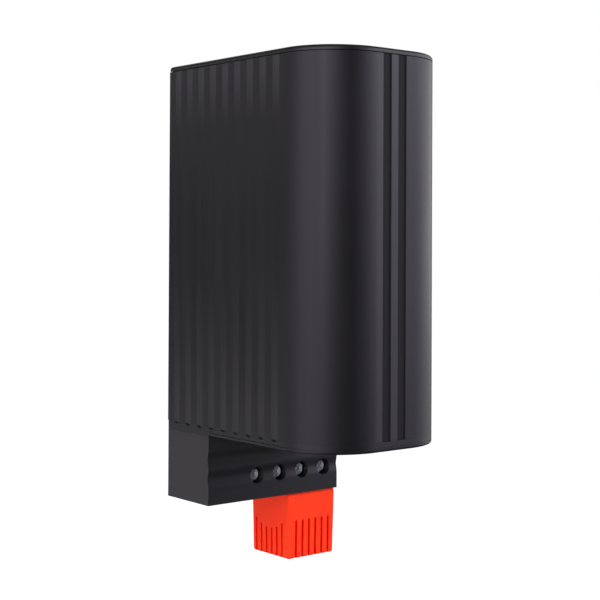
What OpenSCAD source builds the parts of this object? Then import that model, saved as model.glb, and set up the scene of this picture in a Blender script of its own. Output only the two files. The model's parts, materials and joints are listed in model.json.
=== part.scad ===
// Touch-safe convection heater for switch cabinets.
// An extruded black casing with a grille at each end holds a finned heat sink with ceramic
// heating tablets. A terminal housing hangs below the rear of the base, and a red plug-in
// temperature switch is clamped in two of its four terminals.
// The frame: the origin is the middle of a 35 mm top-hat rail, in the plane that its two
// flanges rest on. +Z is up, the front faces -Y. All sizes are in millimetres.

/* [Casing] */
// Width of the casing, side to side
casing_w = 60; // [56:1:72]
// Depth of the casing, rear face to front face
casing_d = 90; // [86:1:110]
// Height of the extruded casing
casing_h = 128.2; // [120:0.2:200]
// Wall thickness of the casing
casing_wall = 2.2; // [1.8:0.1:3]
// Radius of the two front corners
front_r = 21.5; // [16:0.5:24]
// Radius of the two rear corners
rear_r = 1.5; // [1.2:0.1:1.7]

/* [Flutes and front grooves] */
// Number of flutes on each side wall
flute_count = 9; // [3:1:9]
// Distance from one side flute to the next
flute_pitch = 7.2; // [5:0.1:7.2]
// Distance from the rear face to the first flute
flute_first = 6.4; // [4:0.1:7]
// Width of a side flute
flute_w = 3.5; // [2:0.1:4.5]
// Depth of a side flute
flute_depth = 0.35; // [0.2:0.05:0.9]
// Width of each of the two grooves in the front wall
groove_w = 3.7; // [2:0.1:5]
// Depth of the front grooves
groove_depth = 0.45; // [0.3:0.05:1.3]
// Width of the rib between the front grooves
groove_rib = 3.1; // [2:0.1:5]

/* [Screw ports and guides] */
// Outer diameter of the screw ports in the casing's corners
port_d = 6; // [5:0.1:7]
// Shank diameter of the tapping screws
screw_d = 2.9; // [2.5:0.1:3.5]
// Head diameter of the tapping screws
screw_head_d = 5.2; // [4.8:0.1:5.6]
// Head height of the tapping screws
screw_head_h = 1.2; // [0.8:0.1:1.3]
// Length of the tapping screws below their heads
screw_l = 10; // [6:0.5:16]
// Length of the guide ribs that hold the heat sink's tongues
guide_l = 6; // [4:0.5:7]
// Thickness of a guide rib
guide_t = 1.6; // [1.2:0.1:2.5]

/* [Top cover] */
// Thickness of the cover plate
cover_h = 1.8; // [1.6:0.1:4]
// Height of the shadow gap between casing and cover
seam_gap = 0.25; // [0.15:0.05:1]
// How far the cover's edge lies inside the casing's outline
cover_inset = 0; // [0:0.1:0.8]
// Radius of the cover's upper edge
cover_round = 1.3; // [0.3:0.1:1.4]
// How far the cover's seat lies inside the casing's outline
seat_inset = 0.9; // [0.5:0.1:1.5]
// Height of the lips that reach into the casing
spigot_h = 5; // [3:0.5:8]
// Thickness of those lips
spigot_t = 1.4; // [1:0.1:2]

/* [Grilles] */
// Width of an air slot
slot_w = 4; // [2.5:0.1:6]
// Width of the bar between two air slots
slot_bar = 2.6; // [2:0.1:4]
// Margin between the lips and the ends of the slots
slot_margin = 1.6; // [1:0.1:3]
// Width of the bar along the middle of the grille
spine_w = 4; // [3:0.1:8]

/* [Base] */
// Height of the base's rim
rim_h = 3.3; // [3:0.1:5]
// Radius of the rim's lower edge, in front of the housing
rim_round = 0.8; // [0.3:0.1:1]
// Height of the fine line around the rim above its bottom
rim_line_z = 1.3; // [1.1:0.1:1.6]
// Width and depth of that line
rim_line = 0.25; // [0.15:0.05:0.4]
// Height of the notch in the rim under each side flute
notch_h = 0.8; // [0.4:0.1:1]
// Depth of those notches
notch_depth = 1.2; // [0.6:0.1:1.6]
// Diameter of the posts that carry the heat sink
post_d = 4; // [3:0.1:5]
// Distance of those posts from the middle
post_x = 9; // [8:0.5:11]

/* [Terminal housing] */
// Height of the terminal housing
housing_h = 24.5; // [24:0.1:32]
// Depth of the terminal housing
housing_d = 26.5; // [26:0.1:30]
// Side and rear wall of the terminal housing
housing_wall = 2; // [1.6:0.1:2.6]
// Floor of the terminal housing
housing_floor = 2.4; // [1.8:0.1:3]
// Depth of the pockets that hold the terminal blocks
pocket_h = 11; // [8:0.5:12]
// Width of the two shallow waves across the housing's front
wave_w = 6.8; // [4:0.1:7]
// Depth of those waves
wave_depth = 0.5; // [0.2:0.05:0.8]
// Height of the lower wave above the housing's bottom
wave_z = 9.3; // [8:0.1:10]
// Distance from the middle to the two screws that hold the housing
housing_screw_x = 14.5; // [13:0.1:16]

/* [Terminals] */
// Distance from one terminal to the next
terminal_pitch = 10.5; // [9.6:0.1:10.8]
// Distance from the housing's right side to the last terminal
terminal_inset = 6.6; // [6.4:0.1:9]
// Height of the terminal screws above the housing's bottom
terminal_screw_z = 8.6; // [7.5:0.1:10]
// Diameter of the screw holes in the housing's front
terminal_hole_d = 6; // [5:0.1:7]
// Depth of the screw heads below the housing's front
terminal_recess = 2.7; // [2.2:0.1:3.5]
// Head diameter of the terminal screws
terminal_head_d = 5.6; // [4.4:0.1:5.8]
// Head thickness of the terminal screws
terminal_head_t = 1.6; // [1.2:0.1:2]
// Shank diameter of the terminal screws
terminal_shank_d = 3.4; // [2.5:0.1:4]
// Width of a terminal block
block_w = 7.5; // [6.5:0.1:8]
// Depth of a terminal block
block_d = 12; // [11.5:0.1:12.4]
// Height of a terminal block
block_h = 15; // [13:0.5:16]
// Diameter of the wire bore in a terminal block
wire_bore_d = 3.4; // [3.3:0.1:4]
// Depth of the wire bore
wire_bore_l = 11; // [10:0.5:12]
// Distance from the rear face to the wire bores
wire_y = 14.5; // [14:0.1:15]
// Diameter of the wire entries in the housing's floor
entry_d = 4.6; // [4.2:0.1:5.5]
// Thickness of the link bar between the first and third terminals
link_t = 0.8; // [0.5:0.1:1.2]
// Height that the link bar passes over the second terminal
link_rise = 2.6; // [2:0.1:3]
// Width of the link bar
link_w = 4.6; // [3:0.1:5]

/* [Heat sink] */
// Distance from the casing's lower end to the heat sink
sink_low = 22; // [21:0.5:30]
// Distance from the casing's upper end to the heat sink
sink_high = 10; // [7:0.5:20]
// Number of fins on each side
fin_count = 9; // [5:2:9]
// Distance from one fin to the next
fin_pitch = 6.5; // [5:0.1:6.5]
// Thickness of a fin
fin_t = 1.4; // [1:0.1:2]
// Air gap between the fin tips and the casing
fin_gap = 4.8; // [3:0.1:8]
// Wall of the chamber that holds the heating tablets
chamber_wall = 2.6; // [2:0.1:4]
// Thickness of the web and its two tongues
tongue_t = 2; // [1.5:0.1:3]

/* [Heating stack] */
// Number of heating tablets
tablet_count = 3; // [2:1:3]
// Width of a tablet
tablet_w = 26; // [22:0.5:28]
// Height of a tablet
tablet_h = 22; // [16:0.5:23]
// Thickness of a tablet
tablet_t = 2.4; // [2:0.1:3]
// Width of the locating frame's bars
frame_bar = 3; // [2:0.1:4]
// How much thinner the locating frame is than the tablets, on each face
frame_relief = 0.2; // [0.1:0.05:0.25]
// Thickness of an electrode
electrode_t = 0.5; // [0.3:0.05:0.8]
// Wall of the insulating sleeve
sleeve_t = 0.25; // [0.15:0.05:0.4]
// How far the sleeve reaches out of the heat sink at each end
sleeve_over = 2; // [1:0.1:2.5]
// Width of a connection tab
tab_w = 6.3; // [4.8:0.1:6.3]
// Length of a connection tab below the heat sink
tab_l = 9; // [8.5:0.1:10]
// Distance of each tab from the middle of the stack
tab_y = 9; // [8:0.1:10]

/* [Leads] */
// Diameter of an insulated lead
lead_d = 2.2; // [1.8:0.1:2.6]
// Bend radius of a lead
lead_bend = 4; // [3.5:0.1:4.2]
// Height of the leads above the base
lead_run = 6; // [5.5:0.1:6.5]

/* [Plug-in temperature switch] */
// Distance from the plug's two terminals to its sides
plug_side = 6.1; // [5.6:0.1:6.3]
// Depth of the plug
plug_d = 22.6; // [20:0.1:23]
// Length of the plug below the terminal housing
plug_h = 24.6; // [20:0.1:30]
// Draft of the cap, on each side over its length
plug_draft = 0.4; // [0.1:0.1:0.6]
// Radius of the cap's edges
plug_r = 1; // [0.6:0.1:1.5]
// Wall of the cap
plug_wall = 1.5; // [1.2:0.1:2]
// Sideways shift of the plug against its two terminals
plug_shift = 0.2; // [0:0.1:1]
// Height of the neck between the cap and the housing
neck_h = 0.6; // [0.5:0.1:2]
// How far the neck lies inside the cap's outline
neck_inset = 0.5; // [0.4:0.1:1]
// Thickness of the carrier inside the cap
carrier_t = 4; // [3:0.1:6]
// Number of slots on each side of the cap
vent_count = 6; // [4:1:6]
// Distance from one slot to the next
vent_pitch = 3.1; // [2:0.05:3.1]
// Width of a slot
vent_w = 1; // [0.5:0.05:1.2]
// Height of the slots on the front and rear
vent_h = 14.2; // [10:0.1:16]
// Sideways shift of the front and rear slots
vent_shift = 0.4; // [0:0.1:1]
// Height of the lowest slot on the left and right
side_vent_h = 10.1; // [7:0.1:12]
// Extra height of the outermost slots there
side_vent_rise = 2.9; // [0:0.1:4]
// How far the slots on the left and right are set towards the rear
side_vent_shift = 0.8; // [0:0.1:1]
// How far the slots run into the cap's floor behind its wall
vent_run = 1.5; // [0.5:0.1:2]
// Diameter of the plug's pins
pin_d = 3; // [2.6:0.1:3]
// Length of a pin inside its terminal block
pin_l = 10; // [8:0.1:10]
// Diameter of a pin's collar below the carrier
collar_d = 5; // [4:0.1:6]
// Thickness of the bimetal strip and of the contact arm
strip_t = 0.4; // [0.3:0.05:0.6]
// Width of the bimetal strip and of the contact arm
strip_w = 5; // [4:0.1:6]
// Diameter of a switch contact
contact_d = 2.4; // [2:0.1:3]
// Height of a switch contact
contact_h = 0.8; // [0.5:0.1:1]

/* [Rail clip] */
// Width of the rail that the clip fits
rail_w = 35; // [35:1:75]
// Thickness of the rail's flanges
rail_t = 1; // [1:0.1:1.5]
// Width of the clip
clip_w = 24; // [18:0.5:30]
// Thickness of the clip's strip
clip_t = 1.2; // [0.8:0.1:1.5]
// Play of a rail flange between clip and hook
clip_gap = 0.4; // [0.2:0.1:0.8]
// How far the fixed hook reaches over the rail's upper flange
hook_l = 3; // [2:0.1:3.4]
// How far the sprung hook reaches over the rail's lower flange
sprung_l = 2.2; // [1.8:0.1:2.4]
// Inner radius of the fold at the sprung hook's tip
fold_r = 0.5; // [0.4:0.1:0.7]
// Angle of the lead-in that the fold turns out to, against the rail's face
lead_in_angle = 40; // [30:1:55]
// Length of that lead-in
lead_in_l = 2.4; // [2:0.1:2.6]
// Spring travel below the rail's lower edge
spring_travel = 1.2; // [0.8:0.1:2]
// Distance of the clip's two screws from the middle
clip_screw_x = 7.5; // [6.5:0.1:8]
// Height of the clip's screws above the rail's middle
clip_screw_z = 5; // [2:0.1:7]
// Length of the clip's screws below their heads
clip_screw_l = 7; // [5:0.5:9]
// Thickness of the land inside the casing behind each clip screw
land_t = 1.6; // [1:0.1:2]

/* [Clearances] */
// Gap between pieces that slide into each other
slide_gap = 0.2; // [0.1:0.05:0.3]
// Gap around a screw or pin in its thread or hole
thread_gap = 0.05; // [0.03:0.01:0.1]
// Extra width of a hole that a screw or lead passes through
pass_gap = 0.5; // [0.3:0.1:0.8]

/* [Hidden] */
$fn = 64;

// Small overlap that makes two shapes of one piece grow together, and a cut run past a face
bite = 0.5;

// Levels, from the bottom up
casing_z0 = -casing_h / 2;
casing_z1 = casing_h / 2;
rim_z0 = casing_z0 - rim_h;
housing_z0 = rim_z0 - housing_h;
plug_z0 = housing_z0 - plug_h;
cover_z0 = casing_z1 + seam_gap;
cover_z1 = cover_z0 + cover_h;
sink_z0 = casing_z0 + sink_low;
sink_z1 = casing_z1 - sink_high;

// The casing's rear face lies one strip thickness in front of the rail seat
rear_y = -clip_t;
inner_w = casing_w - 2 * casing_wall;
sink_y = -casing_d / 2;
spigot_out = casing_wall + slide_gap;
spigot_in = spigot_out + spigot_t;

// Screw ports: one in each rear corner, one on the diagonal of each front corner
port_reach = front_r - casing_wall - port_d / 2 + bite;
port_front_x = casing_w / 2 - front_r + port_reach * sin(45);
port_front_y = -casing_d + front_r - port_reach * cos(45);
port_rear_x = inner_w / 2 - port_d / 2 + bite;
port_rear_y = -casing_wall - port_d / 2 + bite;
ports = [for (s = [-1, 1]) each [[s * port_front_x, port_front_y], [s * port_rear_x, port_rear_y]]];
screw_hole_d = screw_d + 2 * thread_gap;
screw_pass_d = screw_d + pass_gap;
head_pass_d = screw_head_d + pass_gap;
head_sink_h = screw_head_h + thread_gap;

// Terminals, counted from the left
terminal_x = [for (i = [3:-1:0]) casing_w / 2 - terminal_inset - i * terminal_pitch];
block_front = -housing_d + terminal_recess + terminal_head_t;
block_z0 = housing_z0 + housing_floor;
block_z1 = block_z0 + block_h;
lead_y = block_front + block_d - lead_d;
lead_hole_d = lead_d + 2 * slide_gap;
lead_hole_l = 3;
boss_wall = 1.2;
housing_boss_d = head_pass_d + 2 * boss_wall;
housing_screw_y = -casing_wall - slide_gap - port_d / 2;
housing_seat_h = 6;
base_boss_h = screw_l - housing_seat_h - rim_h + 2 * boss_wall;

// Heating stack: tablets and frame between two electrodes, in a sleeve, in the chamber
stack_t = tablet_t + 2 * electrode_t;
frame_w = tablet_w + 2 * frame_bar;
frame_h = tablet_count * (tablet_h + frame_bar) + frame_bar;
stack_z = (sink_z0 + sink_z1) / 2;
stack_z0 = stack_z - frame_h / 2;
chamber_t = stack_t + 2 * sleeve_t;
chamber_w = frame_w + 2 * (sleeve_t + slide_gap);
tab_z0 = sink_z0 - tab_l;
receptacle_h = 6;
receptacle_wall = 1;
receptacle_z0 = tab_z0 - 2 * receptacle_wall;

// Plug
plug_w = terminal_pitch + 2 * plug_side;
plug_x = (terminal_x[2] + terminal_x[3]) / 2 + plug_shift;
cap_z1 = housing_z0 - neck_h;
cavity_w = plug_w - 2 * (plug_draft + plug_wall);
cavity_d = plug_d - 2 * (plug_draft + plug_wall);
carrier_z0 = cap_z1 - carrier_t;
collar_h = 1.5;
strip_z1 = carrier_z0 - collar_h;
contact_z = strip_z1 - strip_t - contact_h;
arm_z1 = contact_z - contact_h;
contact_clear = 0.6;
contact_x = terminal_x[3] - (collar_d + contact_d) / 2 - contact_clear;
strip_end = strip_w / 2;
stub_d = pin_d * 2 / 3;
stub_l = 0.8;

// Rail clip
clip_slot = rail_t + clip_gap;
clip_top = rail_w / 2;
clip_bottom = rail_w / 2 + spring_travel;

casing_black = "#1c1c1f";
moulding_black = "#17171a";
switch_red = "#f23c20";

// Outline of the casing, or of a shape that lies the given distance inside it
module d_outline(inset = 0) {
    front_c = casing_w / 2 - front_r;
    rear_c = max(rear_r, inset);
    translate([-casing_w / 2 + inset, -casing_d + front_r])
        square([casing_w - 2 * inset, casing_d - front_r - rear_c]);
    translate([-front_c, -casing_d + inset])
        square([2 * front_c, front_r - inset]);
    for (s = [-1, 1])
        translate([s * front_c, -casing_d + front_r])
            circle(front_r - inset);
    if (rear_r > inset) {
        translate([-casing_w / 2 + rear_r, -rear_r])
            square([casing_w - 2 * rear_r, rear_r - inset]);
        for (s = [-1, 1])
            translate([s * (casing_w / 2 - rear_r), -rear_r])
                circle(rear_r - inset);
    }
}

// Plate of the casing's outline whose edge follows a profile of [inset, height] points
module edge_plate(profile) {
    z0 = profile[0][1];
    z1 = profile[len(profile) - 1][1];
    mid_y = -casing_d + front_r;
    right = [for (p = profile) [casing_w / 2 - p[0], p[1]]];
    left = [for (i = [len(profile) - 1:-1:0]) [profile[i][0] - casing_w / 2, profile[i][1]]];
    front = [for (p = profile) [-casing_d + p[0], p[1]]];
    rear = [for (p = profile) [-p[0], p[1]]];
    translate([0, -rear_r, 0])
        rotate([90, 0, 0])
            linear_extrude(casing_d - front_r - rear_r)
                polygon(concat(right, left));
    translate([front_r - casing_w / 2, 0, 0])
        rotate([90, 0, 90])
            linear_extrude(casing_w - 2 * front_r)
                polygon(concat([[mid_y, z0]], front, [[mid_y, z1]]));
    translate([rear_r - casing_w / 2, 0, 0])
        rotate([90, 0, 90])
            linear_extrude(casing_w - 2 * rear_r)
                polygon(concat([[-rear_r, z0]], rear, [[-rear_r, z1]]));
    for (s = [-1, 1]) {
        translate([s * (casing_w / 2 - front_r), mid_y, 0])
            edge_corner(profile, front_r, s < 0 ? 180 : 270);
        translate([s * (casing_w / 2 - rear_r), -rear_r, 0])
            edge_corner(profile, rear_r, s < 0 ? 90 : 0);
    }
}

// Quarter turn of an edge profile around a corner
module edge_corner(profile, radius, turn) {
    z0 = profile[0][1];
    z1 = profile[len(profile) - 1][1];
    rotate([0, 0, turn])
        rotate_extrude(angle = 90)
            polygon(concat([[0, z0]], [for (p = profile) [radius - p[0], p[1]]], [[0, z1]]));
}

// Guide ribs on the inside of the front and rear walls, grown by a clearance
module guides(grow = 0) {
    for (s = [-1, 1])
        translate([s * (tongue_t / 2 + slide_gap + guide_t / 2), 0])
            for (y = [-casing_d + casing_wall - bite, -casing_wall - guide_l - grow])
                translate([-guide_t / 2 - grow, y])
                    square([guide_t + 2 * grow, guide_l + bite + grow]);
}

// Lands inside the rear wall that give the clip screws their thread, grown by a clearance
module lands(grow = 0) {
    for (s = [-1, 1])
        translate([s * clip_screw_x - screw_head_d / 2 - grow, -casing_wall - land_t - grow])
            square([screw_head_d + 2 * grow, land_t + bite + grow]);
}

// Circles at the four screw ports
module at_ports(diameter) {
    for (p = ports)
        translate(p)
            circle(d = diameter);
}

// Shallow round flute of a given width and depth, with its centre outside the face at y = 0
module flute(width, depth) {
    r = (width * width / 4 + depth * depth) / (2 * depth);
    translate([0, depth - r])
        circle(r);
}

module casing_section() {
    difference() {
        union() {
            difference() {
                d_outline();
                d_outline(casing_wall);
            }
            intersection() {
                d_outline(bite);
                union() {
                    at_ports(port_d);
                    guides();
                    lands();
                }
            }
        }
        at_ports(screw_hole_d);
        for (s = [-1, 1], i = [0:flute_count - 1])
            translate([s * casing_w / 2, -flute_first - i * flute_pitch])
                rotate([0, 0, s * 90])
                    flute(flute_w, flute_depth);
        for (s = [-1, 1])
            translate([s * (groove_rib + groove_w) / 2 - groove_w / 2, -casing_d - bite])
                square([groove_w, groove_depth + bite]);
    }
}

module casing() {
    color(casing_black)
        translate([0, rear_y, 0])
            difference() {
                translate([0, 0, casing_z0])
                    linear_extrude(casing_h)
                        casing_section();
                for (s = [-1, 1])
                    translate([s * clip_screw_x, bite, clip_screw_z])
                        rotate([90, 0, 0])
                            cylinder(d = screw_hole_d, h = casing_wall + land_t + 2 * bite);
            }
}

// Air slots: stripes across the casing, cut to its inside, with solid pads left for posts and screws
module air_slots(rear_end) {
    pitch = slot_w + slot_bar;
    count = floor((casing_d - spigot_in - slot_margin - rear_end) / pitch);
    difference() {
        intersection() {
            d_outline(spigot_in + slot_margin);
            for (i = [0:count - 1])
                translate([-casing_w / 2, -rear_end - slot_w - i * pitch])
                    square([casing_w, slot_w]);
        }
        translate([-spine_w / 2, -casing_d])
            square([spine_w, casing_d]);
        at_ports(head_pass_d + 2 * slot_margin);
        at_posts(post_d + 2 * slot_margin);
    }
}

// Circles at the four posts between the base, the heat sink and the cover
module at_posts(diameter) {
    for (s = [-1, 1], e = [-1, 1])
        translate([s * post_x, sink_y + e * fin_pitch * (fin_count - 3) / 2])
            circle(d = diameter);
}

// Lips that reach into the casing, cut back around its ports, guides and lands
module lips() {
    difference() {
        d_outline(spigot_out);
        d_outline(spigot_in);
        at_ports(port_d + 2 * slide_gap);
        guides(slide_gap);
        lands(slide_gap);
    }
}

module top_cover() {
    arc = [for (a = [0:15:90]) [
        cover_inset + cover_round * (1 - cos(a)),
        cover_z1 - cover_round * (1 - sin(a))
    ]];
    color(moulding_black)
        translate([0, rear_y, 0])
            difference() {
                union() {
                    edge_plate(concat([[cover_inset, cover_z0]], arc));
                    translate([0, 0, casing_z1])
                        linear_extrude(seam_gap + bite)
                            d_outline(seat_inset);
                    translate([0, 0, casing_z1 - spigot_h])
                        linear_extrude(spigot_h + bite)
                            lips();
                    translate([0, 0, sink_z1 + slide_gap])
                        linear_extrude(sink_high + bite)
                            at_posts(post_d);
                }
                translate([0, 0, casing_z1 - bite])
                    linear_extrude(seam_gap + cover_h + 2 * bite)
                        air_slots(spigot_in + slot_margin);
                translate([0, 0, casing_z1 - bite])
                    linear_extrude(seam_gap + cover_h + 2 * bite)
                        at_ports(screw_pass_d);
                translate([0, 0, cover_z1 - head_sink_h])
                    linear_extrude(head_sink_h + bite)
                        at_ports(head_pass_d);
            }
}

module base() {
    notch_r = (flute_w * flute_w / 4 + notch_h * notch_h) / (2 * notch_h);
    rim_arc = [for (a = [0:15:90]) [rim_round * (1 - sin(a)), rim_z0 + rim_round * (1 - cos(a))]];
    line_z0 = rim_z0 + rim_line_z;
    rim_line_profile = [
        [0, line_z0], [rim_line, line_z0], [rim_line, line_z0 + rim_line], [0, line_z0 + rim_line]
    ];
    color(moulding_black)
        translate([0, rear_y, 0])
            difference() {
                union() {
                    edge_plate(concat(rim_arc, rim_line_profile, [[0, casing_z0]]));
                    translate([0, 0, rim_z0])
                        linear_extrude(rim_h)
                            housing_outline();
                    translate([0, 0, casing_z0 - bite])
                        linear_extrude(spigot_h + bite)
                            lips();
                    translate([0, 0, casing_z0 - bite])
                        linear_extrude(sink_low + bite)
                            at_posts(post_d);
                    for (s = [-1, 1])
                        translate([s * housing_screw_x, housing_screw_y, casing_z0 - bite])
                            cylinder(d = port_d, h = base_boss_h + bite);
                }
                translate([0, 0, rim_z0 - bite])
                    linear_extrude(rim_h + 2 * bite)
                        air_slots(housing_d + slot_bar);
                translate([0, 0, rim_z0 - bite])
                    linear_extrude(rim_h + 2 * bite)
                        at_ports(screw_pass_d);
                translate([0, 0, rim_z0 - bite])
                    linear_extrude(head_sink_h + bite)
                        at_ports(head_pass_d);
                for (s = [-1, 1])
                    translate([s * housing_screw_x, housing_screw_y, rim_z0 - bite])
                        cylinder(d = screw_hole_d, h = screw_l - housing_seat_h + 2 * bite);
                for (i = [1, 3])
                    translate([terminal_x[i], lead_y, rim_z0 - bite])
                        cylinder(d = lead_d + 2 * pass_gap, h = rim_h + 2 * bite);
                for (s = [-1, 1], i = [0:flute_count - 1])
                    translate([s * casing_w / 2, -flute_first - i * flute_pitch, casing_z0 - notch_h + notch_r])
                        rotate([0, 90, 0])
                            cylinder(r = notch_r, h = 2 * notch_depth, center = true);
            }
}

// Outline of the terminal housing: the rear part of the casing's outline
module housing_outline() {
    intersection() {
        d_outline();
        translate([-casing_w / 2, -housing_d])
            square([casing_w, housing_d]);
    }
}

// Two smooth shallow waves, side by side along x, cut into the face at y = 0 from below
module wave_pair() {
    steps = 16;
    polygon(concat(
        [[0, -bite]],
        [for (i = [0:2 * steps]) [i * wave_w / steps, wave_depth * (1 - cos(360 * i / steps)) / 2]],
        [[2 * wave_w, -bite]]
    ));
}

module terminal_housing() {
    inner_z = block_z0 + pocket_h;
    pocket_w = block_w + 2 * slide_gap;
    core_x0 = -casing_w / 2 + housing_wall;
    core_x1 = terminal_x[0] - pocket_w / 2 - housing_wall;
    inside_d = block_front - slide_gap;
    color(moulding_black)
        translate([0, rear_y, 0])
            difference() {
                union() {
                    difference() {
                        translate([0, 0, housing_z0])
                            linear_extrude(housing_h)
                                housing_outline();
                        translate([core_x0, inside_d, inner_z])
                            cube([casing_w - 2 * housing_wall, -inside_d - housing_wall, housing_h]);
                        translate([core_x0, inside_d, block_z0])
                            cube([core_x1 - core_x0, -inside_d - housing_wall, housing_h]);
                    }
                    for (s = [-1, 1])
                        translate([s * housing_screw_x, housing_screw_y, housing_z0])
                            cylinder(d = housing_boss_d, h = housing_h);
                }
                for (x = terminal_x) {
                    translate([x - pocket_w / 2, inside_d, block_z0])
                        cube([pocket_w, block_d + 2 * slide_gap, housing_h]);
                    translate([x, inside_d + bite, housing_z0 + terminal_screw_z])
                        rotate([90, 0, 0])
                            cylinder(d = terminal_hole_d, h = housing_d);
                    translate([x, -wire_y, housing_z0 - bite])
                        cylinder(d = entry_d, h = housing_floor + 2 * bite);
                }
                for (s = [-1, 1])
                    translate([s * housing_screw_x, housing_screw_y, housing_z0 - bite]) {
                        cylinder(d = head_pass_d, h = housing_h - housing_seat_h + bite);
                        cylinder(d = screw_pass_d, h = housing_h + 2 * bite);
                    }
                translate([-casing_w / 2 - bite, -housing_d, housing_z0 + wave_z + 3 * wave_w / 2])
                    rotate([0, 90, 0])
                        linear_extrude(casing_w + 2 * bite)
                            wave_pair();
            }
}

// One strip of spring steel: a fixed hook above, and below a sprung hook whose tip is folded
// outwards into a lead-in, so that the rail's lower flange presses it down and snaps in
module clip_profile() {
    bend_r = clip_slot / 2;
    fold_out = fold_r + clip_t;
    fold_x = clip_slot + fold_out;
    fold_z = sprung_l - clip_top - fold_out;
    translate([-clip_t, -clip_bottom])
        square([clip_t, clip_top + clip_bottom]);
    for (end = [[1, clip_top], [-1, clip_bottom]])
        translate([bend_r, end[0] * end[1]])
            difference() {
                circle(bend_r + clip_t);
                circle(bend_r);
                translate([-clip_slot - clip_t, end[0] > 0 ? -clip_slot - clip_t : 0])
                    square([2 * (clip_slot + clip_t), clip_slot + clip_t]);
            }
    translate([clip_slot, clip_top - hook_l])
        square([clip_t, hook_l]);
    translate([clip_slot, -clip_bottom])
        square([clip_t, clip_bottom + fold_z]);
    translate([fold_x, fold_z]) {
        intersection() {
            difference() {
                circle(fold_out);
                circle(fold_r);
            }
            polygon([
                [0, 0], [-2 * fold_out, 0], [-2 * fold_out, 2 * fold_out], [2 * fold_out, 2 * fold_out],
                2 * fold_out * [cos(lead_in_angle), sin(lead_in_angle)]
            ]);
        }
        rotate([0, 0, lead_in_angle])
            translate([fold_r, -lead_in_l])
                square([clip_t, lead_in_l]);
    }
}

module rail_clip() {
    color("silver")
        difference() {
            translate([-clip_w / 2, 0, 0])
                rotate([90, 0, 90])
                    linear_extrude(clip_w)
                        clip_profile();
            for (s = [-1, 1])
                translate([s * clip_screw_x, bite, clip_screw_z])
                    rotate([90, 0, 0])
                        cylinder(d = screw_d + pass_gap, h = clip_t + 2 * bite);
        }
}

// Pan-head tapping screw with a cross recess, head on top of z = 0, shank below
module tapping_screw(length) {
    recess_w = screw_head_d / 7;
    difference() {
        union() {
            cylinder(d = screw_head_d, h = screw_head_h);
            translate([0, 0, -length])
                cylinder(d = screw_d, h = length + bite);
        }
        for (a = [0, 90])
            rotate([0, 0, a])
                translate([-screw_head_d / 3, -recess_w / 2, screw_head_h / 2])
                    cube([screw_head_d * 2 / 3, recess_w, screw_head_h]);
    }
}

module clip_screws() {
    color("gainsboro")
        for (s = [-1, 1])
            translate([s * clip_screw_x, 0, clip_screw_z])
                rotate([-90, 0, 0])
                    tapping_screw(clip_screw_l);
}

module cover_screws() {
    color("gainsboro")
        for (p = ports)
            translate([p[0], p[1] + rear_y, cover_z1 - head_sink_h])
                tapping_screw(screw_l);
}

module base_screws() {
    color("gainsboro")
        for (p = ports)
            translate([p[0], p[1] + rear_y, rim_z0 + head_sink_h])
                rotate([180, 0, 0])
                    tapping_screw(screw_l);
}

module housing_screws() {
    color("gainsboro")
        for (s = [-1, 1])
            translate([s * housing_screw_x, housing_screw_y + rear_y, rim_z0 - housing_seat_h])
                rotate([180, 0, 0])
                    tapping_screw(screw_l);
}

module heat_sink() {
    web_end = casing_wall + slide_gap;
    fin_w = inner_w - 2 * fin_gap;
    color("lightgray")
        translate([0, rear_y, sink_z0])
            linear_extrude(sink_z1 - sink_z0)
                difference() {
                    union() {
                        translate([-tongue_t / 2, -casing_d + web_end])
                            square([tongue_t, casing_d - 2 * web_end]);
                        translate([-chamber_t / 2 - chamber_wall, sink_y - chamber_w / 2 - chamber_wall])
                            square([chamber_t + 2 * chamber_wall, chamber_w + 2 * chamber_wall]);
                        for (i = [0:fin_count - 1])
                            translate([-fin_w / 2, sink_y + (i - (fin_count - 1) / 2) * fin_pitch - fin_t / 2])
                                square([fin_w, fin_t]);
                    }
                    translate([-chamber_t / 2, sink_y - chamber_w / 2])
                        square([chamber_t, chamber_w]);
                }
}

// Lower edge of a tablet's window in the locating frame
function window_z(i) = stack_z0 + frame_bar + i * (tablet_h + frame_bar);

module heating_tablet(i) {
    if (i < tablet_count)
        color("dimgray")
            translate([-tablet_t / 2, sink_y + rear_y - tablet_w / 2, window_z(i)])
                cube([tablet_t, tablet_w, tablet_h]);
}

module locating_frame() {
    frame_t = tablet_t - 2 * frame_relief;
    color("ivory")
        translate([-frame_t / 2, sink_y + rear_y, 0])
            difference() {
                translate([0, -frame_w / 2, stack_z0])
                    cube([frame_t, frame_w, frame_h]);
                for (i = [0:tablet_count - 1])
                    translate([-bite, -tablet_w / 2 - slide_gap, window_z(i) - slide_gap])
                        cube([frame_t + 2 * bite, tablet_w + 2 * slide_gap, tablet_h + 2 * slide_gap]);
            }
}

// Brass plate on one face of the tablets, with a connection tab at its lower end
module electrode(side) {
    color("goldenrod")
        translate([side * (tablet_t + electrode_t) / 2 - electrode_t / 2, sink_y + rear_y, 0]) {
            translate([0, -frame_w / 2, stack_z0])
                cube([electrode_t, frame_w, frame_h]);
            translate([0, -side * tab_y - tab_w / 2, tab_z0])
                cube([electrode_t, tab_w, stack_z0 - tab_z0 + bite]);
        }
}

module insulating_sleeve() {
    color("darkorange")
        translate([0, sink_y + rear_y, sink_z0 - sleeve_over])
            linear_extrude(sink_z1 - sink_z0 + 2 * sleeve_over)
                difference() {
                    square([chamber_t, frame_w + 2 * sleeve_t], center = true);
                    square([stack_t, frame_w], center = true);
                }
}

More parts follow.
